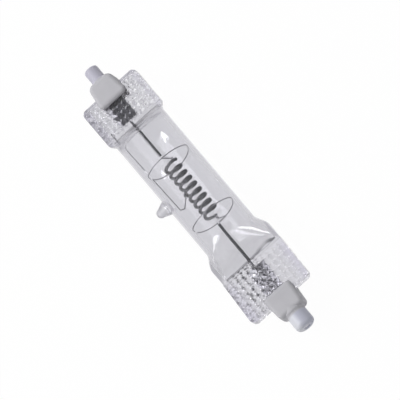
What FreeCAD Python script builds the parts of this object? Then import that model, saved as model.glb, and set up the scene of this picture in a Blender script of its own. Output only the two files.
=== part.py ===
import FreeCAD, Part
import math
import os
from types import SimpleNamespace

os.makedirs("parts", exist_ok=True)

V = FreeCAD.Vector

# Linear halogen bulb: quartz tube with two waffle-pressed seals and ceramic end caps.
# Millimetres. The bulb lies on its tube, axis along X, pressed faces up and down.
# Left is the -X end. Lengths of an end run outward from the middle of the tube.

# Quartz tube
TUBE_RADIUS = 12.25
TUBE_WALL = 1.8
LEFT_TUBE_LENGTH = 33.0
RIGHT_TUBE_LENGTH = 21.3

# Shoulders, where the round tube turns into the flat press, and their flare to its width
LEFT_SHOULDER_LENGTH = 8.0
RIGHT_SHOULDER_LENGTH = 14.5
LEFT_FLARE_START = 5.2
RIGHT_FLARE_START = 0.0
LEFT_FLARE_LENGTH = 2.8
RIGHT_FLARE_LENGTH = 7.5
SHOULDER_SQUARENESS = 4.0
SHOULDER_OVERLAP = 0.5
SHOULDER_STEP = 0.02

# Presses: flat seals, each side splayed outward by this much at the outer end
PRESS_THICKNESS = 4.8
PRESS_STEP = 0.1
PRESS_EDGE_RADIUS = 0.8
PRESS_CORNER_RADIUS = 2.3
LEFT_PRESS_LENGTH = 18.1
RIGHT_PRESS_LENGTH = 20.7
LEFT_PRESS_WIDTH = 28.3
RIGHT_PRESS_WIDTH = 30.0
LEFT_PRESS_SPLAY_MINUS_Y = 0.1
LEFT_PRESS_SPLAY_PLUS_Y = 0.0
RIGHT_PRESS_SPLAY_MINUS_Y = 1.1
RIGHT_PRESS_SPLAY_PLUS_Y = -0.5

# Hollow inside the tube, down to a slit round the wrapped lead where each press begins
SLIT_CLEARANCE = 0.07
CAVITY_SIDE_WALL = 1.9
CAVITY_SQUARENESS = 3.0
LEFT_CAVITY_STOP = 0.7
RIGHT_CAVITY_STOP = 0.5

# Waffle dimples on both faces of the presses
DIMPLE_RADIUS = 1.1
DIMPLE_DEPTH = 0.45
DIMPLE_END_MARGIN = 1.3
LEFT_DIMPLE_START = 1.6
RIGHT_DIMPLE_START = 3.2
LEFT_DIMPLE_ROW_PITCH = 2.8
RIGHT_DIMPLE_ROW_PITCH = 3.2
LEFT_DIMPLE_COLUMN_PITCH = 2.45
RIGHT_DIMPLE_COLUMN_PITCH = 2.7

# Exhaust tip on the -Y side
TIP_X = -5.2
TIP_LENGTH = 5.2
TIP_ROOT_RADIUS = 3.8
TIP_END_RADIUS = 2.0
TIP_ROOT_DEPTH = 1.05

# Foils in the presses
FOIL_WIDTH = 7.8
FOIL_THICKNESS = 0.1
FOIL_DROP = 0.4
FOIL_SETBACK = 2.7
FOIL_END_MARGIN = 1.5
LEFT_FOIL_Y = -1.2
RIGHT_FOIL_Y = -0.4

# Inner leads and the wire wrapped round them
ROD_RADIUS = 0.5
ROD_ON_FOIL = 2.3
LEFT_ROD_Y = -0.8
RIGHT_ROD_Y = -0.6
WRAP_RADIUS = 0.68
WRAP_PAST_ROD = 1.0

# Outer leads and contacts
LEAD_RADIUS = 0.5
LEAD_ON_FOIL = 4.0
LEAD_CLEARANCE = 0.1
CONTACT_RADIUS = 1.5
CONTACT_THICKNESS = 1.2
CONTACT_RECESS = 0.4

# Filament: a heavy coil, its strand itself wound from wire, with a thin leg at each end
COIL_MIDDLE_X = -3.86
COIL_RADIUS = 3.1
COIL_PITCH = 3.2
COIL_TURNS = 8.8
STRAND_RADIUS = 0.72
LEG_RADIUS = 0.25
LEFT_LEG_RUN = 5.36
RIGHT_LEG_RUN = 4.68

# Wire supports
SUPPORT_RADIUS = 0.2
SUPPORT_CLEARANCE = 0.02
RING_WALL_GAP = 0.25
RING_OPENING_DEG = 14.0
LEFT_RING_FROM_COIL = 0.66
RIGHT_RING_FROM_COIL = 0.48
LEFT_SPOKE_Y = 0.0
RIGHT_SPOKE_Y = 2.8
EYE_FROM_COIL = 1.8
SIDE_WALL_GAP = 0.05
SIDE_IN_GLASS = 4.2
SIDE_LEVEL_RUN = 1.4
SIDE_EYE_TURNS = 4.5
SIDE_EYE_ARC_DEG = 300.0
SIDE_BEND_PAST_EYE = 3.0
SIDE_BEND_INSET = 1.3
SIDE_HOOK_LENGTH = 0.8
SIDE_HOOK_DEPTH = 1.8

# Ceramic caps, narrower at the neck than at the mouth
CAP_MOUTH_WIDTH = 14.0
LEFT_CAP_END_WIDTH = 11.0
RIGHT_CAP_END_WIDTH = 12.2
CAP_THICKNESS = 9.5
CAP_EDGE_RADIUS = 1.8
CAP_MOUTH_RADIUS = 2.0
CEMENT_GAP = 0.35
CEMENT_INSET = 0.4
LEFT_CAP_LENGTH = 11.4
RIGHT_CAP_LENGTH = 11.3
LEFT_CAP_ON_PRESS = 5.9
RIGHT_CAP_ON_PRESS = 4.1
LEFT_CAP_CORNER_RADIUS = 2.8
RIGHT_CAP_CORNER_RADIUS = 2.0
NECK_ROOT = 2.0
NECK_FOOT = 0.6
NECK_FOOT_LENGTH = 0.9
CUT_OVERRUN = 1.0
LEFT_NECK_LENGTH = 6.9
RIGHT_NECK_LENGTH = 8.0
LEFT_NECK_RADIUS = 3.1
RIGHT_NECK_RADIUS = 4.3
LEFT_NECK_END_RADIUS = 1.0
RIGHT_NECK_END_RADIUS = 1.9

# Fineness of the shoulder surfaces
SECTION_POINTS = 40
SECTION_COUNT = 12

BORE_RADIUS = TUBE_RADIUS - TUBE_WALL
RING_RADIUS = BORE_RADIUS - SUPPORT_RADIUS - RING_WALL_GAP
COIL_START_X = COIL_MIDDLE_X - COIL_PITCH * COIL_TURNS / 2
COIL_END_X = COIL_MIDDLE_X + COIL_PITCH * COIL_TURNS / 2

left = SimpleNamespace(
    name="left",
    side=-1,
    tube=LEFT_TUBE_LENGTH,
    shoulder=LEFT_SHOULDER_LENGTH,
    flare_start=LEFT_FLARE_START,
    flare=LEFT_FLARE_LENGTH,
    press=LEFT_PRESS_LENGTH,
    width=LEFT_PRESS_WIDTH,
    splay=(LEFT_PRESS_SPLAY_MINUS_Y, LEFT_PRESS_SPLAY_PLUS_Y),
    cavity_stop=LEFT_CAVITY_STOP,
    dimple_start=LEFT_DIMPLE_START,
    row_pitch=LEFT_DIMPLE_ROW_PITCH,
    column_pitch=LEFT_DIMPLE_COLUMN_PITCH,
    foil_y=LEFT_FOIL_Y,
    rod_y=LEFT_ROD_Y,
    coil_edge=-COIL_START_X,
    coil_turn=0.0,
    leg_run=LEFT_LEG_RUN,
    ring_from_coil=LEFT_RING_FROM_COIL,
    spoke_y=LEFT_SPOKE_Y,
    spoke_side=1,
    cap=LEFT_CAP_LENGTH,
    cap_end_width=LEFT_CAP_END_WIDTH,
    cap_on_press=LEFT_CAP_ON_PRESS,
    cap_corner=LEFT_CAP_CORNER_RADIUS,
    neck=LEFT_NECK_LENGTH,
    neck_radius=LEFT_NECK_RADIUS,
    neck_end_radius=LEFT_NECK_END_RADIUS,
)
right = SimpleNamespace(
    name="right",
    side=1,
    tube=RIGHT_TUBE_LENGTH,
    shoulder=RIGHT_SHOULDER_LENGTH,
    flare_start=RIGHT_FLARE_START,
    flare=RIGHT_FLARE_LENGTH,
    press=RIGHT_PRESS_LENGTH,
    width=RIGHT_PRESS_WIDTH,
    splay=(RIGHT_PRESS_SPLAY_MINUS_Y, RIGHT_PRESS_SPLAY_PLUS_Y),
    cavity_stop=RIGHT_CAVITY_STOP,
    dimple_start=RIGHT_DIMPLE_START,
    row_pitch=RIGHT_DIMPLE_ROW_PITCH,
    column_pitch=RIGHT_DIMPLE_COLUMN_PITCH,
    foil_y=RIGHT_FOIL_Y,
    rod_y=RIGHT_ROD_Y,
    coil_edge=COIL_END_X,
    coil_turn=COIL_TURNS,
    leg_run=RIGHT_LEG_RUN,
    ring_from_coil=RIGHT_RING_FROM_COIL,
    spoke_y=RIGHT_SPOKE_Y,
    spoke_side=-1,
    cap=RIGHT_CAP_LENGTH,
    cap_end_width=RIGHT_CAP_END_WIDTH,
    cap_on_press=RIGHT_CAP_ON_PRESS,
    cap_corner=RIGHT_CAP_CORNER_RADIUS,
    neck=RIGHT_NECK_LENGTH,
    neck_radius=RIGHT_NECK_RADIUS,
    neck_end_radius=RIGHT_NECK_END_RADIUS,
)
ENDS = (left, right)

for end in ENDS:
    end.press_start = end.tube + end.shoulder
    end.press_end = end.press_start + end.press
    end.cavity_end = end.press_start - end.cavity_stop
    end.foil_inner = end.press_start + FOIL_SETBACK
    end.foil_outer = end.press_end - FOIL_END_MARGIN
    end.wrap_end = end.coil_edge + end.leg_run
    end.rod_inner = end.wrap_end + WRAP_PAST_ROD
    end.cap_mouth = end.press_end - end.cap_on_press
    end.cap_shoulder = end.cap_mouth + end.cap
    end.neck_end = end.cap_shoulder + end.neck
    end.contact_outer = end.neck_end - CONTACT_RECESS
    end.contact_inner = end.contact_outer - CONTACT_THICKNESS

# The origin lies on the floor under the middle of the whole outline.
REACH_MINUS_Y = max(TUBE_RADIUS + TIP_LENGTH, *(e.width / 2 + e.splay[0] for e in ENDS))
REACH_PLUS_Y = max(e.width / 2 + max(e.splay[1], 0) for e in ENDS)
TO_ORIGIN = V((left.neck_end - right.neck_end) / 2, (REACH_MINUS_Y - REACH_PLUS_Y) / 2,
              TUBE_RADIUS)


def box(x0, x1, y0, y1, z0, z1):
    return Part.makeBox(x1 - x0, y1 - y0, z1 - z0, V(x0, y0, z0))


def bar(start, stop, radius):
    """Round bar from one point to another."""
    run = stop - start
    return Part.makeCylinder(radius, run.Length, start, run)


def to_side(end, shape):
    """Ends are drawn on the +X side; the left one is mirrored over."""
    if end.side < 0:
        return shape.mirror(V(0, 0, 0), V(1, 0, 0))
    return shape


def ease(x, start, length):
    """0 up to start, 1 from start + length on, level at both."""
    u = min(max((x - start) / length, 0.0), 1.0)
    return u * u * (3 - 2 * u)


def section(x, half_width, half_thickness, squareness):
    """Closed curve across the bulb; squareness 2 is an ellipse, more is boxier."""
    power = 2 / squareness
    points = []
    for i in range(SECTION_POINTS):
        angle = 2 * math.pi * i / SECTION_POINTS
        c = math.cos(angle)
        s = math.sin(angle)
        y = half_width * math.copysign(abs(c) ** power, c)
        z = half_thickness * math.copysign(abs(s) ** power, s)
        points.append(V(x, y, z))
    curve = Part.BSplineCurve()
    knots = [float(i) for i in range(SECTION_POINTS + 1)]
    curve.interpolate(Points=points, PeriodicFlag=True, Parameters=knots)
    return Part.Wire(curve.toShape())


def shoulder(end, radius, length, half_width, half_thickness, squareness, overrun):
    """Loft from the round tube to the flat press; it reaches into both by an overlap."""
    places = [end.tube - SHOULDER_OVERLAP]
    places += [end.tube + length * i / SECTION_COUNT for i in range(SECTION_COUNT + 1)]
    if overrun:
        places.append(end.tube + length + overrun)
    wires = []
    for x in places:
        flat = ease(x, end.tube, length)
        wide = ease(x, end.tube + end.flare_start, end.flare)
        wires.append(section(x, radius + (half_width - radius) * wide,
                             radius + (half_thickness - radius) * flat,
                             2 + (squareness - 2) * flat))
    return Part.makeLoft(wires, True, False)


def outer_shoulder(end):
    return shoulder(end, TUBE_RADIUS - SHOULDER_STEP, end.shoulder,
                    end.width / 2 - PRESS_STEP, PRESS_THICKNESS / 2 - PRESS_STEP,
                    SHOULDER_SQUARENESS, SHOULDER_OVERLAP)


def cavity_shoulder(end):
    return shoulder(end, BORE_RADIUS - SHOULDER_STEP, end.shoulder - end.cavity_stop,
                    end.width / 2 - CAVITY_SIDE_WALL, WRAP_RADIUS + SLIT_CLEARANCE,
                    CAVITY_SQUARENESS, 0.0)


def flat_rims(shape, half_thickness, beyond_x):
    """Edges round the top and bottom faces, apart from those at the inner end."""
    rims = []
    for edge in shape.Edges:
        bounds = edge.BoundBox
        level = bounds.ZLength < 1e-4 and abs(abs(bounds.ZMin) - half_thickness) < 1e-4
        if level and bounds.XMax > beyond_x + 1e-3:
            rims.append(edge)
    return rims


def uprights(shape, x):
    """Upright edges at this place along the bulb."""
    return [e for e in shape.Edges
            if e.BoundBox.ZLength > 1 and abs(e.BoundBox.Center.x - x) < 0.1]


def tapered_slab(x0, x1, inner, outer, half_thickness):
    """Flat block; inner and outer are its reaches to -Y and +Y at its two ends."""
    corners = [
        V(x0, -inner[0], -half_thickness),
        V(x1, -outer[0], -half_thickness),
        V(x1, outer[1], -half_thickness),
        V(x0, inner[1], -half_thickness),
    ]
    outline = Part.makePolygon(corners + corners[:1])
    return Part.Face(outline).extrude(V(0, 0, 2 * half_thickness))


def press(end):
    """Flat seal, rounded at its outer corners and along its rims."""
    t = PRESS_THICKNESS / 2
    w = end.width / 2
    slab = tapered_slab(end.press_start, end.press_end, (w, w),
                        (w + end.splay[0], w + end.splay[1]), t)
    slab = slab.makeFillet(PRESS_CORNER_RADIUS, uprights(slab, end.press_end))
    return slab.makeFillet(PRESS_EDGE_RADIUS, flat_rims(slab, t, end.press_start))


def dimples(end):
    """Balls that sink a grid of shallow round dimples into both faces of a press."""
    ball = (DIMPLE_RADIUS ** 2 + DIMPLE_DEPTH ** 2) / (2 * DIMPLE_DEPTH)
    height = PRESS_THICKNESS / 2 + ball - DIMPLE_DEPTH
    room = end.press - end.dimple_start - DIMPLE_END_MARGIN
    rows = int(room / end.row_pitch) + 1
    columns = math.ceil(end.width / end.column_pitch)
    balls = []
    for row in range(rows):
        x = end.press_start + end.dimple_start + end.row_pitch * row
        for column in range(columns):
            y = (column - (columns - 1) / 2) * end.column_pitch
            for side in (-1, 1):
                balls.append(Part.makeSphere(ball, V(x, y, side * height)))
    return Part.makeCompound(balls)


def exhaust_tip():
    """Cone of fused quartz with a rounded end, rooted in the tube wall."""
    root_y = TIP_ROOT_DEPTH - TUBE_RADIUS
    ball_y = TIP_END_RADIUS - TUBE_RADIUS - TIP_LENGTH
    cone = Part.makeCone(TIP_ROOT_RADIUS, TIP_END_RADIUS, root_y - ball_y,
                         V(TIP_X, root_y, 0), V(0, -1, 0))
    return cone.fuse(Part.makeSphere(TIP_END_RADIUS, V(TIP_X, ball_y, 0)))


def envelope(embedded):
    """One piece of quartz, closed round the cavity and on the metal in the presses."""
    outside = bar(V(-left.tube, 0, 0), V(right.tube, 0, 0), TUBE_RADIUS).fuse(exhaust_tip())
    inside = bar(V(-left.tube, 0, 0), V(right.tube, 0, 0), BORE_RADIUS)
    for end in ENDS:
        outside = outside.fuse(to_side(end, outer_shoulder(end)))
        outside = outside.fuse(to_side(end, press(end)))
        inside = inside.fuse(to_side(end, cavity_shoulder(end)))
    shape = outside.cut(inside)
    for metal in embedded:
        shape = shape.cut(metal)
    for end in ENDS:
        shape = shape.cut(to_side(end, dimples(end)))
    return shape


def foil(end):
    top = -FOIL_DROP
    return box(end.foil_inner, end.foil_outer, end.foil_y - FOIL_WIDTH / 2,
               end.foil_y + FOIL_WIDTH / 2, top - FOIL_THICKNESS, top)


def inner_lead(end):
    """Rod from the foil into the tube, with a flat where it is welded to the foil."""
    stop = end.foil_inner + ROD_ON_FOIL
    return bar(V(end.rod_inner, end.rod_y, 0), V(stop, end.rod_y, 0), ROD_RADIUS).cut(foil(end))


def lead_wrap(end):
    """Close-wound wire round the rod, as a sleeve; it runs on past the rod to the leg."""
    start = V(end.wrap_end, end.rod_y, 0)
    stop = V(end.cavity_end, end.rod_y, 0)
    return bar(start, stop, WRAP_RADIUS).cut(bar(start, stop, ROD_RADIUS))


def outer_lead(end):
    """Wire from the foil through the cap to the contact."""
    start = V(end.foil_outer - LEAD_ON_FOIL, 0, 0)
    return bar(start, V(end.contact_inner, 0, 0), LEAD_RADIUS).cut(foil(end))


def contact(end):
    return bar(V(end.contact_inner, 0, 0), V(end.contact_outer, 0, 0), CONTACT_RADIUS)


def cap_slot(end, mouth, width):
    """Space between the prongs of the cap, which the press and its cement fill."""
    height = PRESS_THICKNESS / 2 + CEMENT_GAP
    return box(mouth, end.press_end + CEMENT_GAP, -width / 2, width / 2, -height, height)


def cap_block(end, inset):
    """Tapered block of the cap, or a smaller one set in from its mouth and sides."""
    mouth = end.cap_mouth + inset
    inner = CAP_MOUTH_WIDTH / 2 - inset
    outer = end.cap_end_width / 2 - inset
    block = tapered_slab(mouth, end.cap_shoulder, (inner, inner), (outer, outer),
                         CAP_THICKNESS / 2)
    return block.makeFillet(CAP_MOUTH_RADIUS - inset, uprights(block, mouth))


def cap(end):
    """Ceramic block forked over the press, with a round neck and a bore for the lead."""
    body = cap_block(end, 0.0)
    body = body.makeFillet(end.cap_corner, uprights(body, end.cap_shoulder))
    body = body.makeFillet(CAP_EDGE_RADIUS, flat_rims(body, CAP_THICKNESS / 2, end.press_start))
    root = V(end.cap_shoulder - NECK_ROOT, 0, 0)
    base = V(end.cap_shoulder, 0, 0)
    neck = bar(root, V(end.neck_end, 0, 0), end.neck_radius)
    rim = [e for e in neck.Edges if e.BoundBox.XMin > end.neck_end - 0.1]
    neck = neck.makeFillet(end.neck_end_radius, rim)
    foot = Part.makeCone(end.neck_radius + NECK_FOOT, end.neck_radius, NECK_FOOT_LENGTH,
                         base, V(1, 0, 0))
    foot = foot.fuse(bar(root, base, end.neck_radius + NECK_FOOT))
    body = body.fuse(foot).fuse(neck)
    wide = CAP_MOUTH_WIDTH + 2 * CUT_OVERRUN
    body = body.cut(cap_slot(end, end.cap_mouth - CUT_OVERRUN, wide))
    bore = bar(V(end.cap_mouth, 0, 0), V(end.contact_outer, 0, 0), LEAD_RADIUS + LEAD_CLEARANCE)
    pocket = bar(V(end.contact_inner, 0, 0), V(end.neck_end + CUT_OVERRUN, 0, 0), CONTACT_RADIUS)
    return body.cut(bore).cut(pocket)


def cement(end, filled):
    """Fills the fork of the cap round the press, set in a little at the open sides."""
    block = cap_slot(end, end.cap_mouth, CAP_MOUTH_WIDTH).common(cap_block(end, CEMENT_INSET))
    shape = to_side(end, block)
    for piece in filled:
        shape = shape.cut(piece)
    return shape


def on_coil(turn):
    """Centre of the strand after this many turns, counted from the left end of the coil."""
    angle = 2 * math.pi * turn
    return V(COIL_START_X + COIL_PITCH * turn, COIL_RADIUS * math.cos(angle),
             COIL_RADIUS * math.sin(angle))


def along_coil(turn):
    """Direction of the strand there."""
    angle = 2 * math.pi * turn
    return V(COIL_PITCH / (2 * math.pi), -COIL_RADIUS * math.sin(angle),
             COIL_RADIUS * math.cos(angle)).normalize()


def leg_points(end):
    """Leg from the coil to the mouth of the wrap, then on to the end of the rod."""
    mouth = V(end.side * end.wrap_end, end.rod_y, 0)
    rod_face = V(end.side * end.rod_inner, end.rod_y, 0)
    return on_coil(end.coil_turn), mouth, rod_face


def filament():
    helix = Part.makeHelix(COIL_PITCH, COIL_PITCH * COIL_TURNS, COIL_RADIUS)
    strand = Part.makeCircle(STRAND_RADIUS, V(COIL_RADIUS, 0, 0),
                             V(0, COIL_RADIUS, COIL_PITCH / (2 * math.pi)))
    shape = Part.Wire(helix.Edges).makePipeShell([Part.Wire(strand)], True, True)
    shape.Placement = FreeCAD.Placement(V(COIL_START_X, 0, 0),
                                        FreeCAD.Rotation(V(1, 1, 1), 120))
    for end in ENDS:
        start, mouth, rod_face = leg_points(end)
        leg = bar(start, mouth, LEG_RADIUS).fuse(bar(mouth, rod_face, LEG_RADIUS))
        for joint in (start, mouth):
            leg = leg.fuse(Part.makeSphere(LEG_RADIUS, joint))
        shape = shape.fuse(leg)
    return shape


def ring_support(end):
    """Open wire hoop by the tube wall, with a spoke to an eye round the filament leg."""
    x = end.side * (end.coil_edge + end.ring_from_coil)
    hoop = Part.makeTorus(RING_RADIUS, SUPPORT_RADIUS, V(0, 0, 0), V(0, 0, 1), 0, 360,
                          360 - RING_OPENING_DEG)
    hoop.rotate(V(0, 0, 0), V(0, 0, 1), 180 + RING_OPENING_DEG / 2)
    to_row = FreeCAD.Placement(V(x, 0, 0), FreeCAD.Rotation(V(1, 1, 1), 120))
    hoop.Placement = to_row.multiply(hoop.Placement)
    lift = math.sqrt(RING_RADIUS ** 2 - end.spoke_y ** 2)
    foot = V(x, end.spoke_y, end.spoke_side * lift)
    start, mouth, _ = leg_points(end)
    run = (mouth - start).normalize()
    centre = start + run * EYE_FROM_COIL
    eye_radius = LEG_RADIUS + SUPPORT_RADIUS + SUPPORT_CLEARANCE
    eye = Part.makeTorus(eye_radius, SUPPORT_RADIUS, centre, run)
    toward = foot - centre
    toward = (toward - run * toward.dot(run)).normalize()
    spoke = bar(foot, centre + toward * eye_radius, SUPPORT_RADIUS)
    return hoop.fuse(spoke).fuse(eye)


def side_support():
    """Wire out of the left press along the wall, ending in an eye round the strand."""
    centre = on_coil(SIDE_EYE_TURNS)
    axis = along_coil(SIDE_EYE_TURNS)
    wall_y = SIDE_WALL_GAP + SUPPORT_RADIUS - BORE_RADIUS
    bend = V(centre.x + SIDE_BEND_PAST_EYE, wall_y + SIDE_BEND_INSET, 0)
    points = [
        V(-left.cavity_end - SIDE_IN_GLASS, wall_y, 0),
        V(-left.cavity_end + SIDE_LEVEL_RUN, wall_y, 0),
        bend,
        bend + V(SIDE_HOOK_LENGTH, SIDE_HOOK_DEPTH, 0),
    ]
    eye_radius = STRAND_RADIUS + SUPPORT_RADIUS + SUPPORT_CLEARANCE
    toward = points[-1] - centre
    toward = (toward - axis * toward.dot(axis)).normalize()
    eye = Part.makeTorus(eye_radius, SUPPORT_RADIUS, V(0, 0, 0), V(0, 0, 1), 0, 360,
                         SIDE_EYE_ARC_DEG)
    turned = FreeCAD.Rotation(toward, axis.cross(toward), axis, "ZXY")
    eye.Placement = FreeCAD.Placement(centre, turned)
    points.append(centre + toward * eye_radius)
    shape = eye
    for start, stop in zip(points, points[1:]):
        shape = shape.fuse(bar(start, stop, SUPPORT_RADIUS))
    for corner in points[1:-1]:
        shape = shape.fuse(Part.makeSphere(SUPPORT_RADIUS, corner))
    return shape


def save(shape, name):
    shape = shape.copy()
    if shape.ShapeType == "Compound" and len(shape.Solids) == 1:
        shape = shape.Solids[0]
    shape.translate(TO_ORIGIN)
    print(name, shape.ShapeType, len(shape.Solids), shape.isValid(), round(shape.Volume, 2))
    shape.exportStep("parts/" + name + ".step")


side = side_support()
in_glass = [side]
for end in ENDS:
    end.metal = {
        "foil": to_side(end, foil(end)),
        "inner_lead": to_side(end, inner_lead(end)),
        "lead_wrap": to_side(end, lead_wrap(end)),
        "outer_lead": to_side(end, outer_lead(end)),
    }
    in_glass += [end.metal["foil"], end.metal["inner_lead"], end.metal["outer_lead"]]
glass = envelope(in_glass)

save(glass, "envelope")
save(filament(), "filament")
save(side, "side_support")
for end in ENDS:
    for name, shape in end.metal.items():
        save(shape, name + "_" + end.name)
    filled = [glass, end.metal["foil"], end.metal["outer_lead"]]
    save(cement(end, filled), "cement_" + end.name)
    save(ring_support(end), "ring_support_" + end.name)
    save(to_side(end, contact(end)), "contact_" + end.name)
    save(to_side(end, cap(end)), "cap_" + end.name)
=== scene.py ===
import math
import bpy
import numpy as np
from mathutils import Matrix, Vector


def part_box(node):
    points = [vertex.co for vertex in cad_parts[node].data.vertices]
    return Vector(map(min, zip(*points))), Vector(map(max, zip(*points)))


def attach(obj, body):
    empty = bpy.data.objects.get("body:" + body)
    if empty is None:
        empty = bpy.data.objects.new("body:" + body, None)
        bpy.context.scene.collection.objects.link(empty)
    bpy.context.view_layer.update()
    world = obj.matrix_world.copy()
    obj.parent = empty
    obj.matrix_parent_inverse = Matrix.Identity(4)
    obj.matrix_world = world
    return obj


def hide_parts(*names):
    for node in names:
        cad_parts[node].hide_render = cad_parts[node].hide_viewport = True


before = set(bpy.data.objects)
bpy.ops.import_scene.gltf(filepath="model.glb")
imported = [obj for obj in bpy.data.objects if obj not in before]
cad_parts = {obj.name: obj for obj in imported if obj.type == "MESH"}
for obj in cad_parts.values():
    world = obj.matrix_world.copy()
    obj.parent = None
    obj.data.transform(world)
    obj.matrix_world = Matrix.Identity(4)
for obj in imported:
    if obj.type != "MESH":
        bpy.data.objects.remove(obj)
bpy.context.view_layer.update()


# Quartz envelope
# One piece of fused quartz: a drawn tube, softened at both ends and squeezed flat between
# waffled jaws, with the stub of the exhaust tube at its side. It is the solid of the part.
MM = 0.001


class Number:
    """A number that a material works out. Python's operators on it add Math nodes."""

    def __init__(self, nodes, socket):
        self.nodes = nodes
        self.socket = socket

    def __add__(self, other):
        return self.nodes.maths("ADD", self, other)

    def __sub__(self, other):
        return self.nodes.maths("SUBTRACT", self, other)

    def __rsub__(self, other):
        return self.nodes.maths("SUBTRACT", other, self)

    def __mul__(self, other):
        return self.nodes.maths("MULTIPLY", self, other)

    def __truediv__(self, other):
        return self.nodes.maths("DIVIDE", self, other)

    def __pow__(self, other):
        return self.nodes.maths("POWER", self, other)

    def __abs__(self):
        return self.nodes.maths("ABSOLUTE", self)

    __radd__ = __add__
    __rmul__ = __mul__


class Nodes:
    """The nodes of one material, or of the world."""

    def __init__(self, tree):
        self.tree = tree

    def node(self, kind, settings=None, inputs=None, output=0):
        """Adds a node: its settings first, then the values or links of its sockets."""
        made = self.tree.nodes.new(kind)
        for name, value in (settings or {}).items():
            setattr(made, name, value)
        for name, value in (inputs or {}).items():
            if isinstance(value, Number):
                self.tree.links.new(value.socket, made.inputs[name])
            else:
                made.inputs[name].default_value = value
        return Number(self, made.outputs[output]) if made.outputs else None

    def maths(self, operation, *values):
        return self.node("ShaderNodeMath", {"operation": operation}, dict(enumerate(values)))

    def step(self, value, none, full):
        """0 where the value is at none or beyond it, 1 at full or beyond, smooth between."""
        return self.node("ShaderNodeMapRange", {"interpolation_type": "SMOOTHSTEP"},
                         {"Value": value, "From Min": none, "From Max": full})

    def mix(self, share, first, second):
        """The second colour by this share over the first."""
        return self.node("ShaderNodeMix", {"data_type": "RGBA"}, {0: share, 6: first, 7: second}, 2)


class Finish(Nodes):
    """A material of one Principled surface, and what varies over it."""

    def __init__(self, name, **uniform):
        self.material = bpy.data.materials.new(name)
        self.material.use_nodes = True
        super().__init__(self.material.node_tree)
        self.shader = self.tree.nodes["Principled BSDF"]
        for socket, value in uniform.items():
            self.shader.inputs[socket.replace("_", " ")].default_value = value
        self.place = self.node("ShaderNodeTexCoord", output="Object")
        self.x, self.y, self.z = [
            self.node("ShaderNodeSeparateXYZ", inputs={"Vector": self.place}, output=axis)
            for axis in "XYZ"]

    def noise(self, size, detail=2.0, stretch=(1, 1, 1)):
        """Noise from 0 to 1 with features of this size in metres, stretched along the axes."""
        spread = self.node("ShaderNodeVectorMath", {"operation": "DIVIDE"},
                           {0: self.place, 1: stretch}, "Vector")
        return self.node("ShaderNodeTexNoise", {}, {"Vector": spread, "Scale": 1 / size,
                                                    "Detail": detail}, 0)

    def patches(self, size, none, full, detail=1.0, stretch=(1, 1, 1)):
        """Patches of this size: 1 where the noise is over full, 0 where it is under none."""
        return self.step(self.noise(size, detail, stretch), none, full)

    def varies(self, socket, value):
        self.tree.links.new(value.socket, self.shader.inputs[socket])

    def bump(self, height, depth):
        """Relief of this depth in metres where height goes from 0 to 1."""
        bumped = self.node("ShaderNodeBump", {}, {"Height": height, "Distance": depth}, "Normal")
        self.varies("Normal", bumped)

    def finish_with(self, shader):
        self.tree.links.new(shader.socket, self.tree.nodes["Material Output"].inputs["Surface"])

    def coat(self, *pieces):
        for piece in pieces:
            piece.data.materials.clear()
            piece.data.materials.append(self.material)


# A range holds the value where a thing starts to show and the value where it shows fully: a
# place along x, a distance from the lamp's axis, or a number without a unit.
AXIS_Y = 1.225 * MM
AXIS_Z = 12.25 * MM
OUTER_TINT = (0.605, 0.60, 0.64, 1)
INNER_TINT = (0.985, 0.985, 0.99, 1)
EDGE_TINT = (0.55, 0.53, 0.65, 1)
STEEP_SHADE_TINT = (0.42, 0.415, 0.44, 1)
SLOPE_SHADE_TINT = (0.58, 0.575, 0.61, 1)
PRESS_RANGE = (33 * MM, 42 * MM)
EDGE_RANGE = (9 * MM, 15 * MM)
EDGE_CLOUD = 8 * MM
STEEP_RANGE = (0.3, 0.75)
SLOPE_START, SLOPE_END = (20 * MM, 24 * MM), (35 * MM, 31 * MM)
MID_WALL = 11.35 * MM
MID_PRESS = (14.05 * MM, 1.5 * MM)
LEFT_SHOULDER, LEFT_FLARE = (33.1 * MM, 41.1 * MM), (38.3 * MM, 41.1 * MM)
RIGHT_SHOULDER, RIGHT_FLARE = (21.2 * MM, 35.7 * MM), (21.2 * MM, 28.7 * MM)
ELLIPSE_POWER = 2
SQUARER_BY = 1.5
CAVITY_RANGE = (1.03, 0.97)

quartz = Finish("quartz", Transmission_Weight=1.0, IOR=1.458)
across = quartz.y - AXIS_Y
above = quartz.z - AXIS_Z
in_press = quartz.step(abs(quartz.x), *PRESS_RANGE)

# The tint is in the outer skin, so the wall of the cavity is told from it: it lies inside the
# closed curve (y / half width) ^ n + (z / half height) ^ n = 1 halfway through the wall.
flat = quartz.step(quartz.x, *RIGHT_SHOULDER) + quartz.step(0 - quartz.x, *LEFT_SHOULDER)
wide = quartz.step(quartz.x, *RIGHT_FLARE) + quartz.step(0 - quartz.x, *LEFT_FLARE)
half_width = wide * (MID_PRESS[0] - MID_WALL) + MID_WALL
half_height = flat * (MID_PRESS[1] - MID_WALL) + MID_WALL
power = flat * SQUARER_BY + ELLIPSE_POWER
curve = (abs(across) / half_width) ** power + (abs(above) / half_height) ** power
inner = quartz.step(curve, *CAVITY_RANGE)
at_edge = quartz.step(abs(across), *EDGE_RANGE) * in_press * quartz.noise(EDGE_CLOUD)
clear = quartz.mix(at_edge, OUTER_TINT, EDGE_TINT)
# The slope of the right shoulder is painted a little darker: painted shade that tones down the glare
# there.
on_shaded_slope = quartz.step(quartz.x, *SLOPE_START) * quartz.step(quartz.x, *SLOPE_END)
clear = quartz.mix(on_shaded_slope, clear, SLOPE_SHADE_TINT)
# Where the press is seen at a slant, as on the walls of its dimples, the glass is painted darker:
# painted shade.
facing = quartz.node("ShaderNodeLayerWeight", output="Facing")
clear = quartz.mix(quartz.step(facing, *STEEP_RANGE) * in_press, clear, STEEP_SHADE_TINT)
clear = quartz.mix(inner, clear, INNER_TINT)
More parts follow.
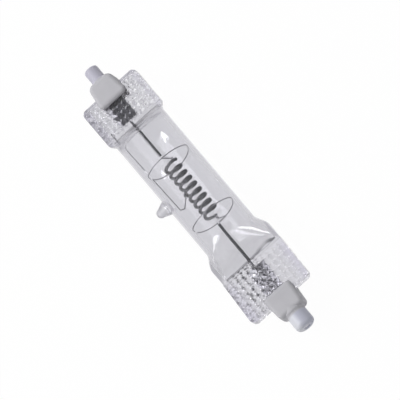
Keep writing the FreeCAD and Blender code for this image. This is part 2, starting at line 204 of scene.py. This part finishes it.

# The studs of the jaws stand in rows and columns. WAFFLE holds the x of a row, the pitch of
# the rows and that of the columns. The right press has painted shade in dark specks in its
# dimples and small dots between them, most on the -Y side, and fewer by the rim and the end.
# The left press has painted shade in grey blotches and dark strokes by its -Y rim, and
# painted highlights on the floors of dimples on its +Y side.
WAFFLE = {"left": (-42.7 * MM, 2.8 * MM, 2.45 * MM), "right": (38.9 * MM, 3.2 * MM, 2.7 * MM)}
FACE_RANGE = (1.7 * MM, 1.9 * MM)
WAFFLE_LEFT, WAFFLE_RIGHT = -41.5 * MM, 35.6 * MM
DIMPLE_RANGE = (0.9 * MM, 0.5 * MM)
SPECK_SHADE = (0.02, 0.02, 0.025, 1)
SPECK_PATCHES = (2.2 * MM, 0.33, 0.55)
DOT_SIZE = 1.5 * MM
DOT_RANGE = (0.42, 0.24)
DOT_PATCHES = (3 * MM, 0.36, 0.52)
DOT_SHARE = 0.8
CROWD_RANGE = (6 * MM, -2 * MM)
LEAST_CROWD = 0.1
RIM_RANGE = (8 * MM, 12 * MM)
END_RANGE = (48 * MM, 52 * MM)
THIN_SHARE = 0.35
BLOTCH_SHADE = (0.40, 0.395, 0.43, 1)
BLOTCH_PATCHES = (1.8 * MM, 0.5, 0.62)
BLOTCH_SHARE = 0.8
STROKE_SHADE = (0.16, 0.155, 0.19, 1)
STROKE_PATCHES = (1.5 * MM, 0.45, 0.6)
STROKE_STRETCH = (0.7, 1.6, 1)
STROKE_RANGE = (10 * MM, 13 * MM)
STROKE_SHARE = 0.85
PALE_HIGHLIGHT = (0.97, 0.97, 0.99, 1)
PALE_PATCHES = (3 * MM, 0.4, 0.6)
PALE_RANGE = (0, 6 * MM)
PALE_SHARE = 0.75


def to_stud(finish, side):
    """Distance in the XY plane to the nearest stud: the root of a * a + b * b, where a and b
    are what is left of x and y within one pitch. Columns straddle the axis."""
    first, row, column = WAFFLE[side]
    a = finish.maths("WRAP", finish.x - first, row / 2, -row / 2)
    b = finish.maths("WRAP", finish.y - AXIS_Y - column / 2, column / 2, -column / 2)
    return (a * a + b * b) ** 0.5


on_face = quartz.step(abs(above), *FACE_RANGE)
on_right = on_face * quartz.maths("GREATER_THAN", quartz.x, WAFFLE_RIGHT)
on_left = on_face * quartz.maths("LESS_THAN", quartz.x, WAFFLE_LEFT)
crowd = quartz.step(across, *CROWD_RANGE) * (1 - LEAST_CROWD) + LEAST_CROWD
speck = quartz.step(to_stud(quartz, "right"), *DIMPLE_RANGE) * quartz.patches(*SPECK_PATCHES)
cells = quartz.node("ShaderNodeTexVoronoi", {}, {"Vector": quartz.place, "Scale": 1 / DOT_SIZE},
                    "Distance")
dot = quartz.step(cells, *DOT_RANGE) * quartz.patches(*DOT_PATCHES)
near_rim = quartz.step(0 - across, *RIM_RANGE)
near_end = quartz.step(quartz.x, *END_RANGE)
thinned = 1 - quartz.maths("MAXIMUM", near_rim, near_end) * THIN_SHARE
specks = quartz.maths("MAXIMUM", speck, dot * DOT_SHARE) * crowd * thinned
# Dark specks and dots of painted shade on the right press.
clear = quartz.mix(specks * on_right, clear, SPECK_SHADE)
# Grey blotches and dark strokes of painted shade on the left press.
blotch = quartz.patches(*BLOTCH_PATCHES) * on_left
clear = quartz.mix(blotch * BLOTCH_SHARE, clear, BLOTCH_SHADE)
strokes = quartz.patches(*STROKE_PATCHES, stretch=STROKE_STRETCH) * on_left
strokes = strokes * quartz.step(0 - across, *STROKE_RANGE)
clear = quartz.mix(strokes * STROKE_SHARE, clear, STROKE_SHADE)
# Pale floors in the dimples of the left press: painted highlights.
highlight_floors = quartz.step(to_stud(quartz, "left"), *DIMPLE_RANGE) * on_left * quartz.patches(*PALE_PATCHES)
clear = quartz.mix(highlight_floors * quartz.step(across, *PALE_RANGE) * PALE_SHARE, clear, PALE_HIGHLIGHT)

# Where the cavity closes, a dark grey line of painted shade crosses the glass at each end. Both
# wander a little, the left one is fainter, and the right one bows towards the coil on its +Y side.
SEAM_SHADE = (0.24, 0.24, 0.25, 1)
SEAM_LEFT, SEAM_RIGHT = -40.2 * MM, 35.1 * MM
SEAM_HALF_WIDTH = 1.0 * MM
SEAM_HALF_HEIGHT = 1.3 * MM
SEAM_RANGE = (14.6 * MM, 14 * MM)
LEFT_SHARE = 0.5
WANDER = 1.2 * MM
WANDER_SIZE = 9 * MM
BOW_MIDDLE, BOW_REACH, BOW = 8.4 * MM, 6 * MM, 1.5 * MM
inside = quartz.step(abs(above), SEAM_HALF_HEIGHT, SEAM_HALF_HEIGHT / 2)
inside = inside * quartz.step(abs(across), *SEAM_RANGE)
place_x = quartz.x + (quartz.noise(WANDER_SIZE, detail=0.0) - 0.5) * WANDER
bow = quartz.step(abs(across - BOW_MIDDLE), BOW_REACH, 0) * BOW
right_seam = quartz.step(abs(place_x + bow - SEAM_RIGHT), SEAM_HALF_WIDTH, SEAM_HALF_WIDTH / 2)
left_seam = quartz.step(abs(place_x - SEAM_LEFT), SEAM_HALF_WIDTH, SEAM_HALF_WIDTH / 2)
seams = (right_seam + left_seam * LEFT_SHARE) * inside
quartz.varies("Base Color", quartz.mix(seams, clear, SEAM_SHADE))

# The wall waves by a micron, in waves drawn out along the tube. The stub of the exhaust tube
# and the left shoulder are a little hazy.
WAVE_SIZE = 6 * MM
WAVE_STRETCH = (3, 1, 1)
WAVE_DEPTH = 0.001 * MM
STUB_RANGE = (12.3 * MM, 13.3 * MM)
HAZE_START, HAZE_END = (33.2 * MM, 35 * MM), (42 * MM, 41.2 * MM)
POLISH = 0.01
STUB_HAZE = 0.45
SHOULDER_HAZE = 0.16
quartz.bump(quartz.noise(WAVE_SIZE, 1.0, WAVE_STRETCH), WAVE_DEPTH)
on_stub = quartz.step(0 - across, *STUB_RANGE) * (1 - in_press)
on_shoulder = quartz.step(0 - quartz.x, *HAZE_START) * quartz.step(0 - quartz.x, *HAZE_END)
quartz.varies("Roughness", on_stub * STUB_HAZE + on_shoulder * SHOULDER_HAZE + POLISH)

# Light that has bounced about inside the glass comes out as the grey white of the studio: there the
# glass glows with painted light.
LOST_AFTER = 2.5
LOST_LIGHT = (0.6, 0.595, 0.635, 1)
bounces = quartz.node("ShaderNodeLightPath", output="Glossy Depth")
lost = quartz.maths("GREATER_THAN", bounces, LOST_AFTER)
studio_glow = quartz.node("ShaderNodeEmission", {}, {"Color": LOST_LIGHT})
glass = Number(quartz, quartz.shader.outputs[0])
quartz.finish_with(quartz.node("ShaderNodeMixShader", {}, {0: lost, 1: glass, 2: studio_glow}))
quartz.coat(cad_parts["envelope"])


# Filament
# Tungsten wire wound into a fine coil, and that coil wound again into the heavy one. At both
# ends the wire is twisted into a thin leg, which is pushed into the wrapped lead.
ROW_SHIFT = -0.1 * MM
COIL_START = -17.94 * MM + ROW_SHIFT
COIL_PITCH = 3.2 * MM
COIL_TURNS = 8.8
COIL_RADIUS = 3.1 * MM
STRAND_RADIUS = 0.72 * MM
WIRE_RADIUS = 0.13 * MM
WIRE_PITCH = 0.42 * MM
WIRE_SIDES = 6
STEPS_PER_WIND = 10


def unit(vectors):
    """Each vector divided by its length."""
    return vectors / np.linalg.norm(vectors, axis=-1, keepdims=True)


def rings_along(line, outward, radius, sides):
    """A circle carried along a line. At each point of the line the circle lies in the plane
    of N and B, where T is the line's direction, N is the outward vector less its part along
    T, and B = T x N. Its points are line + radius * (cos a * N + sin a * B)."""
    along = unit(np.gradient(line, axis=0))
    normal = unit(outward - (outward * along).sum(1, keepdims=True) * along)
    across = np.cross(along, normal)
    angles = np.linspace(0, 2 * math.pi, sides, endpoint=False)
    round_n = np.cos(angles)[None, :, None] * normal[:, None, :]
    round_b = np.sin(angles)[None, :, None] * across[:, None, :]
    return line[:, None, :] + radius * (round_n + round_b)


def closed_tubes(name, grids):
    """One mesh of tubes. A grid holds a tube's points as rings by sides; each point is joined
    to its neighbours by a quad, and the first and last rings are closed by a flat face."""
    points = []
    faces = []
    first = 0
    for grid in grids:
        count, sides = grid.shape[:2]
        index = first + np.arange(count * sides).reshape(count, sides)
        turned = np.roll(index, -1, axis=1)
        quads = np.stack([index[:-1], turned[:-1], turned[1:], index[1:]], axis=-1)
        faces += quads.reshape(-1, 4).tolist()
        faces.append(index[0, ::-1].tolist())
        faces.append(index[-1].tolist())
        points.append(grid.reshape(-1, 3))
        first += count * sides
    mesh = bpy.data.meshes.new(name)
    mesh.from_pydata(np.concatenate(points).tolist(), [], faces)
    mesh.shade_smooth()
    piece = bpy.data.objects.new(name, mesh)
    bpy.context.scene.collection.objects.link(piece)
    return piece


def heavy_coil(turns):
    """Centre of the strand: x grows by the pitch each turn, and y and z go round the axis."""
    angle = 2 * math.pi * turns
    return np.stack([COIL_START + COIL_PITCH * turns, AXIS_Y + COIL_RADIUS * np.cos(angle),
                     AXIS_Z + COIL_RADIUS * np.sin(angle)], axis=-1)


def wound_strand():
    """The wire of the strand. Its line circles the heavy coil's line: with T along that line,
    N away from the axis and B = T x N, it is the centre + r * (cos w * N + sin w * B), where
    w grows by a full turn for each wire pitch along the strand."""
    turn_length = math.hypot(2 * math.pi * COIL_RADIUS, COIL_PITCH)
    winds = COIL_TURNS * turn_length / WIRE_PITCH
    turns = np.linspace(0, COIL_TURNS, int(winds * STEPS_PER_WIND) + 1)
    centre = heavy_coil(turns)
    along = unit(np.gradient(centre, axis=0))
    away = centre - np.array([0, AXIS_Y, AXIS_Z])
    away[:, 0] = 0
    away = unit(away - (away * along).sum(1, keepdims=True) * along)
    across = np.cross(along, away)
    wound = 2 * math.pi * winds * turns / COIL_TURNS
    outward = np.cos(wound)[:, None] * away + np.sin(wound)[:, None] * across
    line = centre + (STRAND_RADIUS - WIRE_RADIUS) * outward
    return rings_along(line, outward, WIRE_RADIUS, WIRE_SIDES)


LEG_RADIUS = 0.25 * MM
LEG_TWIST = 1.1 * MM
LEG_SIDES = 6
STEPS_PER_TWIST = 12


def twisted_leg(start, stop, phase):
    """One of the two wires of a leg: it circles the straight line from start to stop, once
    for each twist, at the leg's radius less its own."""
    run = np.array(stop) - np.array(start)
    twists = np.linalg.norm(run) / LEG_TWIST
    share = np.linspace(0, 1, int(twists * STEPS_PER_TWIST) + 1)
    along = run / np.linalg.norm(run)
    side = unit(np.cross(along, [0.0, 0.0, 1.0]))
    over = np.cross(along, side)
    angle = 2 * math.pi * twists * share + phase
    outward = np.cos(angle)[:, None] * side + np.sin(angle)[:, None] * over
    line = np.array(start) + share[:, None] * run + LEG_RADIUS / 2 * outward
    return rings_along(line, outward, LEG_RADIUS / 2, LEG_SIDES)


def end_of_wrap(side):
    """The middle of the mouth of a wrapped lead, towards the coil."""
    low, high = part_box("lead_wrap_" + side)
    mouth = high.x if side == "left" else low.x
    return [mouth, (low.y + high.y) / 2, (low.z + high.z) / 2]


def face_of_rod(side):
    """The middle of the end of the rod, inside its wrap."""
    low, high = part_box("inner_lead_" + side)
    face = high.x if side == "left" else low.x
    return [face, end_of_wrap(side)[1], AXIS_Z]


grids = [wound_strand()]
for side, turns in (("left", 0.0), ("right", COIL_TURNS)):
    root = heavy_coil(np.array([turns]))[0]
    mouth = end_of_wrap(side)
    for phase in (0.0, math.pi):
        grids.append(twisted_leg(root, mouth, phase))
        grids.append(twisted_leg(mouth, face_of_rod(side), phase))
filament = closed_tubes("filament_wire", grids)
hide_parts("filament")
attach(filament, "root")

# The wire is dark from drawing. The open run of each leg, between the coil and the wrap, is
# painted bright, a painted highlight; the ranges are measured from the middle of the coil and
# from that of both legs.
WIRE_DARK = (0.055, 0.055, 0.062, 1)
WIRE_LIGHT = (0.16, 0.16, 0.175, 1)
WIRE_CLOUD = 1.1 * MM
LEG_HIGHLIGHT = (0.85, 0.85, 0.87, 1)
COIL_MIDDLE, PAST_COIL = -4 * MM, (14.3 * MM, 14.8 * MM)
LEGS_MIDDLE, BEFORE_WRAP = -4.3 * MM, (19.2 * MM, 18.9 * MM)
tungsten = Finish("drawn tungsten", Metallic=0.85, Roughness=0.45)
drawn = tungsten.mix(tungsten.noise(WIRE_CLOUD), WIRE_DARK, WIRE_LIGHT)
on_leg = tungsten.step(abs(tungsten.x - COIL_MIDDLE), *PAST_COIL)
on_leg = on_leg * tungsten.step(abs(tungsten.x - LEGS_MIDDLE), *BEFORE_WRAP)
tungsten.varies("Base Color", tungsten.mix(on_leg, drawn, LEG_HIGHLIGHT))
tungsten.coat(filament)


# Wrapped leads
# A tungsten rod runs from the foil into the tube at each end, with finer wire wound close
# round it. The last turns run on past the rod and grip the leg of the filament.
WRAP_WIRE_RADIUS = 0.09 * MM
WRAP_PITCH = 0.2 * MM
WRAP_SIDES = 6
STEPS_PER_WRAP = 16


def wound_wrap(side):
    """Wire in a close helix round the rod: x grows by the pitch each turn, from end to end of
    the sleeve that it stands for, and the outside of the wire is the sleeve's radius."""
    low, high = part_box("lead_wrap_" + side)
    radius = (high.y - low.y) / 2 - WRAP_WIRE_RADIUS
    length = high.x - low.x - 2 * WRAP_WIRE_RADIUS
    turns = length / WRAP_PITCH
    share = np.linspace(0, 1, int(turns * STEPS_PER_WRAP) + 1)
    angle = 2 * math.pi * turns * share
    outward = np.stack([np.zeros_like(angle), np.cos(angle), np.sin(angle)], axis=-1)
    middle = np.array([0, (low.y + high.y) / 2, (low.z + high.z) / 2])
    line = middle + radius * outward
    line[:, 0] = low.x + WRAP_WIRE_RADIUS + length * share
    return rings_along(line, outward, WRAP_WIRE_RADIUS, WRAP_SIDES)


for side in ("left", "right"):
    wrap = closed_tubes("wrap_wire_" + side, [wound_wrap(side)])
    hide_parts("lead_wrap_" + side)
    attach(wrap, "root")
    tungsten.coat(wrap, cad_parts["inner_lead_" + side])


# Wire supports
# A hoop of thin wire by the tube wall holds each leg of the filament in the middle of the
# tube, and a third wire, sealed into the left press, holds the middle of the coil.
SUPPORT_DARK = (0.16, 0.16, 0.17, 1)
SUPPORT_LIGHT = (0.34, 0.34, 0.36, 1)
SUPPORT_CLOUD = 2 * MM
support = Finish("support wire", Metallic=0.9, Roughness=0.35)
shades = support.mix(support.noise(SUPPORT_CLOUD), SUPPORT_DARK, SUPPORT_LIGHT)
support.varies("Base Color", shades)
support.coat(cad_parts["ring_support_left"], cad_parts["ring_support_right"])
tungsten.coat(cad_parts["side_support"])


# Foils and outer leads
# Molybdenum foil, thin enough to be sealed into the quartz, carries the current through each
# press. A rod is welded to its inner end and a wire to its outer end.
FOIL_STEP = 0.15 * MM
FOIL_DENT = 0.16 * MM
FOIL_SKIN = 0.01 * MM
FOIL_SCALLOP = 0.5 * MM


def nearest_stud(x, y, side):
    """Distances along x and y from a point to the nearest stud of the jaws: the rest of the
    place within one pitch, from minus a half to a half of it. Columns straddle the axis."""
    first, row, column = WAFFLE[side]
    along = (x - first) - row * np.round((x - first) / row)
    across = (y - AXIS_Y) / column - 0.5
    return along, column * (across - np.round(across))


def waffled_sheet(side):
    """The foil as a closed loop carried along x: over its upper face and back under its lower
    one. Both faces are pressed by the dent's depth times cos * cos of the place between the
    studs, and neither comes inside the foil's own faces. The dents fade out over the last
    millimetre at both ends, and as 1 - v ^ 4 to the sides, where v goes from -1 to 1 across
    the foil. The sides go out by the scallop's depth times 0.5 + 0.5 * cos at each row."""
    low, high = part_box("foil_" + side)
    first, row, column = WAFFLE[side]
    rings = int((high.x - low.x) / FOIL_STEP)
    x = np.linspace(low.x - FOIL_SKIN, high.x + FOIL_SKIN, rings)[:, None]
    across = np.linspace(-1, 1, int((high.y - low.y) / FOIL_STEP))[None, :]
    scallop = FOIL_SCALLOP * (0.5 + 0.5 * np.cos(2 * math.pi * (x - first) / row))
    y = (low.y + high.y) / 2 + across * ((high.y - low.y) / 2 + FOIL_SKIN + scallop)
    fade = np.minimum(1, np.minimum(x - x.min(), x.max() - x) / MM) * (1 - across ** 4)
    dent = FOIL_DENT * fade * (np.cos(2 * math.pi * (x - first) / row)
                               * -np.cos(2 * math.pi * (y - AXIS_Y) / column))
    upper = high.z + FOIL_SKIN + np.maximum(dent, 0)
    lower = low.z - FOIL_SKIN + np.minimum(dent, 0)
    x = np.broadcast_to(x, y.shape)
    faces = [np.stack([x, y, z], axis=-1) for z in (upper, lower)]
    return np.concatenate([faces[1], faces[0][:, ::-1]], axis=1)


# The left foil is dark grey and mottled, with a darker rim of painted shade round each dimple,
# a painted highlight beside the dimple's middle, and pale frayed sides. The right foil is torn:
# dull and pale, dark in patches, and at the welded rod dark on its +Y side and a white painted
# highlight on the other.
FOIL_DARK = (0.03, 0.03, 0.035, 1)
FOIL_GREY = (0.08, 0.08, 0.088, 1)
FOIL_DULL = (0.40, 0.395, 0.415, 1)
FOIL_PALE = (0.62, 0.615, 0.65, 1)
FOIL_HIGHLIGHT = (0.72, 0.72, 0.74, 1)
FOIL_MIDDLE = -0.8 * MM
FRAY_SIZE = 2.4 * MM
FRAY_RANGE, FRAY_SHARE = (2 * MM, 4.4 * MM), 0.5
CREASE_PATCHES = (0.7 * MM, 0.35, 0.65)
CREASE_STRETCH, CREASE_SHARE = (2, 1, 1), 0.5
MOTTLE_PATCHES, MOTTLE_SHARE = (0.9 * MM, 0.5, 0.62), 0.15
PALE_FRAY, TORN_FRAY, WELD_FRAY = (0.86, 0.96), (0.6, 0.85), 0.7
TORN_PATCHES, TORN_SHARE = (1.1 * MM, 0.54, 0.64), 0.9
WELD_RANGE, WELD_SIDES = (44 * MM, 41 * MM), (-1.2 * MM, 0.2 * MM)
molybdenum = Finish("molybdenum", Metallic=0.9, Roughness=0.4)
rim = molybdenum.node("ShaderNodeAttribute", {"attribute_name": "rim"}, output="Fac")
shine = molybdenum.node("ShaderNodeAttribute", {"attribute_name": "shine"}, output="Fac")
to_right = molybdenum.step(molybdenum.x, 0, MM)
fray = molybdenum.step(abs(molybdenum.y - AXIS_Y - FOIL_MIDDLE), *FRAY_RANGE) * FRAY_SHARE
fray = fray + molybdenum.noise(FRAY_SIZE, 1.0)
crease = molybdenum.patches(*CREASE_PATCHES, detail=3.0, stretch=CREASE_STRETCH)
# A ring of painted shade round each dimple, and a painted highlight beside its middle.
shade = molybdenum.mix(rim * (1 - crease * CREASE_SHARE), FOIL_GREY, FOIL_DARK)
mottle = molybdenum.patches(*MOTTLE_PATCHES)
shade = molybdenum.mix(mottle * MOTTLE_SHARE, shade, FOIL_DULL)
shade = molybdenum.mix(shine, shade, FOIL_PALE)
shade = molybdenum.mix(molybdenum.step(fray, *PALE_FRAY), shade, FOIL_PALE)
patch = molybdenum.patches(*TORN_PATCHES)
at_weld = molybdenum.step(molybdenum.x, *WELD_RANGE)
weld_side = molybdenum.step(molybdenum.y - AXIS_Y, *WELD_SIDES)
by_weld = at_weld * weld_side * (1 - fray * WELD_FRAY)
torn = molybdenum.mix(molybdenum.step(fray, *TORN_FRAY), FOIL_DULL, FOIL_PALE)
torn = molybdenum.mix(molybdenum.maths("MAXIMUM", patch * TORN_SHARE, by_weld), torn, FOIL_DARK)
# White painted highlight on the -Y side of the welded rod.
torn = molybdenum.mix(at_weld * (1 - weld_side), torn, FOIL_HIGHLIGHT)
molybdenum.varies("Base Color", molybdenum.mix(to_right, shade, torn))

# The patterns, a painted highlight (shine) and a ring of painted shade (rim), are 1 at the
# shine's middle or on the rim's circle, and exp(-(d / width) ^ 2) at a distance d from it. The
# shine lies by its shift towards -X and -Y of the dimple's middle.
SHINE_WIDTH = 0.45 * MM
SHINE_SHIFT = (0.55 * MM, 0.16 * MM)
RIM_RADIUS = 1.0 * MM
RIM_WIDTH = 0.35 * MM
for side in ("left", "right"):
    grid = waffled_sheet(side)
    sheet = closed_tubes("foil_sheet_" + side, [grid])
    x = grid[..., 0].ravel()
    y = grid[..., 1].ravel()
    to_middle = np.hypot(*nearest_stud(x, y, side))
    to_shine = np.hypot(*nearest_stud(x + SHINE_SHIFT[0], y + SHINE_SHIFT[1], side))
    patterns = {"shine": np.exp(-(to_shine / SHINE_WIDTH) ** 2),
                "rim": np.exp(-((to_middle - RIM_RADIUS) / RIM_WIDTH) ** 2)}
    for pattern, values in patterns.items():
        sheet.data.attributes.new(pattern, "FLOAT", "POINT").data.foreach_set("value", values)
    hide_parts("foil_" + side)
    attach(sheet, "root")
    molybdenum.coat(sheet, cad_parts["outer_lead_" + side])


# Ceramic caps
# Pressed steatite, unglazed and fine grained: a block forked over the press, with a round
# neck that goes into the lampholder. Handling leaves the necks a little smoother.
CERAMIC = (0.53, 0.525, 0.555, 1)
CERAMIC_SHADE = (0.46, 0.455, 0.485, 1)
CERAMIC_CLOUD = 5 * MM
LEFT_NECK = (0.48, 0.47, 0.55, 1)
RIGHT_NECK_LIT = (0.66, 0.67, 0.72, 1)
RIGHT_NECK_SHADED_BLUE = (0.50, 0.51, 0.60, 1)
NECK_RANGE = (64.6 * MM, 65.6 * MM)
BLUE_RANGE = (-3.5 * MM, 1 * MM)
BODY_ROUGH = 0.72
NECK_SMOOTHER = 0.3
GRAIN_SIZE = 0.25 * MM
GRAIN_DEPTH = 0.02 * MM
ceramic = Finish("ceramic", Specular_IOR_Level=0.4)
body = ceramic.mix(ceramic.noise(CERAMIC_CLOUD, 4.0), CERAMIC_SHADE, CERAMIC)
on_neck = ceramic.step(abs(ceramic.x), *NECK_RANGE)
# The right neck is painted lighter on its -Y side and darker and bluer on its +Y side: painted light
# and shade over its bluish grey.
blue_shaded_side = ceramic.step(ceramic.y - AXIS_Y, *BLUE_RANGE)
right_neck = ceramic.mix(blue_shaded_side, RIGHT_NECK_LIT, RIGHT_NECK_SHADED_BLUE)
neck = ceramic.mix(ceramic.step(ceramic.x, -MM, MM), LEFT_NECK, right_neck)
ceramic.varies("Base Color", ceramic.mix(on_neck, body, neck))
ceramic.varies("Roughness", BODY_ROUGH - on_neck * NECK_SMOOTHER)
ceramic.bump(ceramic.noise(GRAIN_SIZE, 3.0), GRAIN_DEPTH)
ceramic.coat(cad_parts["cap_left"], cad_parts["cap_right"])


# Cement
# A grey refractory paste fills the fork of each cap round the press, and sets hard.
CEMENT_DARK = (0.30, 0.30, 0.30, 1)
CEMENT_LIGHT = (0.44, 0.43, 0.42, 1)
GRIT_SIZE = 0.3 * MM
GRIT_DEPTH = 0.06 * MM
cement = Finish("cement", Roughness=0.9)
grit = cement.noise(GRIT_SIZE, 4.0)
cement.varies("Base Color", cement.mix(grit, CEMENT_DARK, CEMENT_LIGHT))
cement.bump(grit, GRIT_DEPTH)
cement.coat(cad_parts["cement_left"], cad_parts["cement_right"])


# Contacts
# A nickel button closes the bore of each neck, a little below its face.
NICKEL_DARK = (0.60, 0.60, 0.63, 1)
NICKEL_LIGHT = (0.75, 0.75, 0.77, 1)
NICKEL_CLOUD = 0.5 * MM
nickel = Finish("nickel", Metallic=1.0, Roughness=0.35)
nickel.varies("Base Color", nickel.mix(nickel.noise(NICKEL_CLOUD, 3.0), NICKEL_DARK, NICKEL_LIGHT))
nickel.coat(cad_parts["contact_left"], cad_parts["contact_right"])


# Floor, light and camera
# A pale floor under a white studio. What the camera, a gloss or the glass sees of both is
# white, and the floor keeps a faint soft shadow.
FLOOR_HALF = 3.0
FLOOR_WHITE_SHARE = 0.975
FLOOR_COLOUR = (0.9, 0.9, 0.9, 1)
WORLD_LIGHT = 0.42


def seen(nodes):
    """1 for a ray that comes from the camera, a gloss or through glass, and 0 for others."""
    rays = [nodes.node("ShaderNodeLightPath", output="Is " + kind + " Ray")
            for kind in ("Camera", "Glossy", "Transmission")]
    return nodes.maths("MAXIMUM", nodes.maths("MAXIMUM", rays[0], rays[1]), rays[2])


floor_mesh = bpy.data.meshes.new("floor")
floor_mesh.from_pydata([(-FLOOR_HALF, -FLOOR_HALF, 0), (FLOOR_HALF, -FLOOR_HALF, 0),
                        (FLOOR_HALF, FLOOR_HALF, 0), (-FLOOR_HALF, FLOOR_HALF, 0)], [],
                       [(0, 1, 2, 3)])
floor = bpy.data.objects.new("floor", floor_mesh)
bpy.context.scene.collection.objects.link(floor)
paint = bpy.data.materials.new("floor")
paint.use_nodes = True
paint.node_tree.nodes.clear()
ground = Nodes(paint.node_tree)
matt = ground.node("ShaderNodeBsdfDiffuse", {}, {"Color": FLOOR_COLOUR})
white = ground.node("ShaderNodeEmission")
both = ground.node("ShaderNodeMixShader", {}, {0: seen(ground) * FLOOR_WHITE_SHARE, 1: matt, 2: white})
ground.node("ShaderNodeOutputMaterial", {}, {"Surface": both})
floor_mesh.materials.append(paint)

world = bpy.data.worlds.new("studio_glow")
bpy.context.scene.world = world
world.use_nodes = True
world.node_tree.nodes.clear()
sky = Nodes(world.node_tree)
strength = seen(sky) * (1 - WORLD_LIGHT) + WORLD_LIGHT
white_sky = sky.node("ShaderNodeBackground", {}, {"Color": (1, 1, 1, 1), "Strength": strength})
sky.node("ShaderNodeOutputWorld", {}, {"Surface": white_sky})


def stand(thing, right, back, position):
    """Puts a lamp or the camera here, with its right side along one direction and looking away
    from the other. Its up is back x right."""
    place = np.eye(4)
    place[:3, :3] = np.stack([right, np.cross(back, right), back], axis=1)
    place[:3, 3] = position
    thing.matrix_world = Matrix(place.tolist())
    bpy.context.scene.collection.objects.link(thing)


def lamp(name, target, direction, distance, size, radiance):
    """A flat oval soft lamp that faces a point, with its width as near along x as it can be.
    Its power is pi * radiance * its area, pi / 4 * width * height."""
    light = bpy.data.lights.new(name, "AREA")
    light.shape = "ELLIPSE"
    light.size, light.size_y = size
    light.energy = math.pi * math.pi / 4 * size[0] * size[1] * radiance
    made = bpy.data.objects.new(name, light)
    back = unit(np.array(direction))
    right = unit(np.array([1.0, 0, 0]) - back[0] * back)
    stand(made, right, back, np.array(target) + distance * back)
    return made


MIDDLE = np.array([ROW_SHIFT, AXIS_Y, AXIS_Z])
KEY_WAY = (-0.5, -0.6, 1.0)
KEY_DISTANCE = 1.2
KEY_SIZE = (1.13, 1.13)
KEY_RADIANCE = 3.5
key = lamp("key", MIDDLE, KEY_WAY, KEY_DISTANCE, KEY_SIZE, KEY_RADIANCE)
key.visible_glossy = False

# Small lamps that only show as glints: on the tube, on both flanks of the right shoulder and
# where the shoulder starts. A row holds a point near the glint in millimetres, the way from
# there to the lamp, the lamp's width and height in metres, and its radiance.
GLINT_DISTANCE = 0.45
GLINTS = (
    ("glint_left", (-30.7, 7.95, 22.5), (-0.34, 0.818, 0.464), (0.0038, 0.16), 14.0),
    ("glint_right", (23.0, -3.4, 23.4), (-0.075, -0.70, 0.70), (0.24, 0.26), 9.0),
    ("streak_right", (29.0, 11.0, 18.0), (0.70, 0.34, 0.63), (0.28, 0.06), 13.0),
    ("streak_far", (26.9, -9.6, 19.3), (0.07, -0.907, 0.414), (0.2, 0.02), 5.0),
)
for name, place, way, size, radiance in GLINTS:
    glint = lamp(name, np.array(place) * MM, way, GLINT_DISTANCE, size, radiance)
    glint.visible_diffuse = False

# The camera looks down on the lamp, a little from its right and from its +Y side, and from so
# far off that lines stay nearly parallel. It is turned by ROLL. MIDDLE_PIXEL is the place of
# the lamp's middle in the picture, counted from its upper left corner.
VIEW = (0.34, 0.10, 0.934)
ROLL = math.radians(49.77)
MIDDLE_PIXEL = (197.7, 196.9)
FRAME_PIXELS = 400
PIXELS_PER_MM = 2.5
CAMERA_DISTANCE = 3.0
SENSOR = 36
CLIP_START = 0.05
toward = unit(np.array(VIEW))
lengthwise = unit(np.array([1.0, 0, 0]) - toward[0] * toward)
crosswise = np.cross(toward, lengthwise)
right = math.cos(ROLL) * lengthwise + math.sin(ROLL) * crosswise
offset = (FRAME_PIXELS / 2 - np.array(MIDDLE_PIXEL)) / PIXELS_PER_MM * MM
aim = MIDDLE + offset[0] * right - offset[1] * np.cross(toward, right)
camera_data = bpy.data.cameras.new("camera")
camera_data.sensor_width = SENSOR
camera_data.lens = SENSOR * CAMERA_DISTANCE / (FRAME_PIXELS / PIXELS_PER_MM * MM)
camera_data.clip_start = CLIP_START
camera = bpy.data.objects.new("camera", camera_data)
stand(camera, right, toward, aim + CAMERA_DISTANCE * toward)
bpy.context.scene.camera = camera
bpy.context.scene.view_settings.view_transform = "Standard"
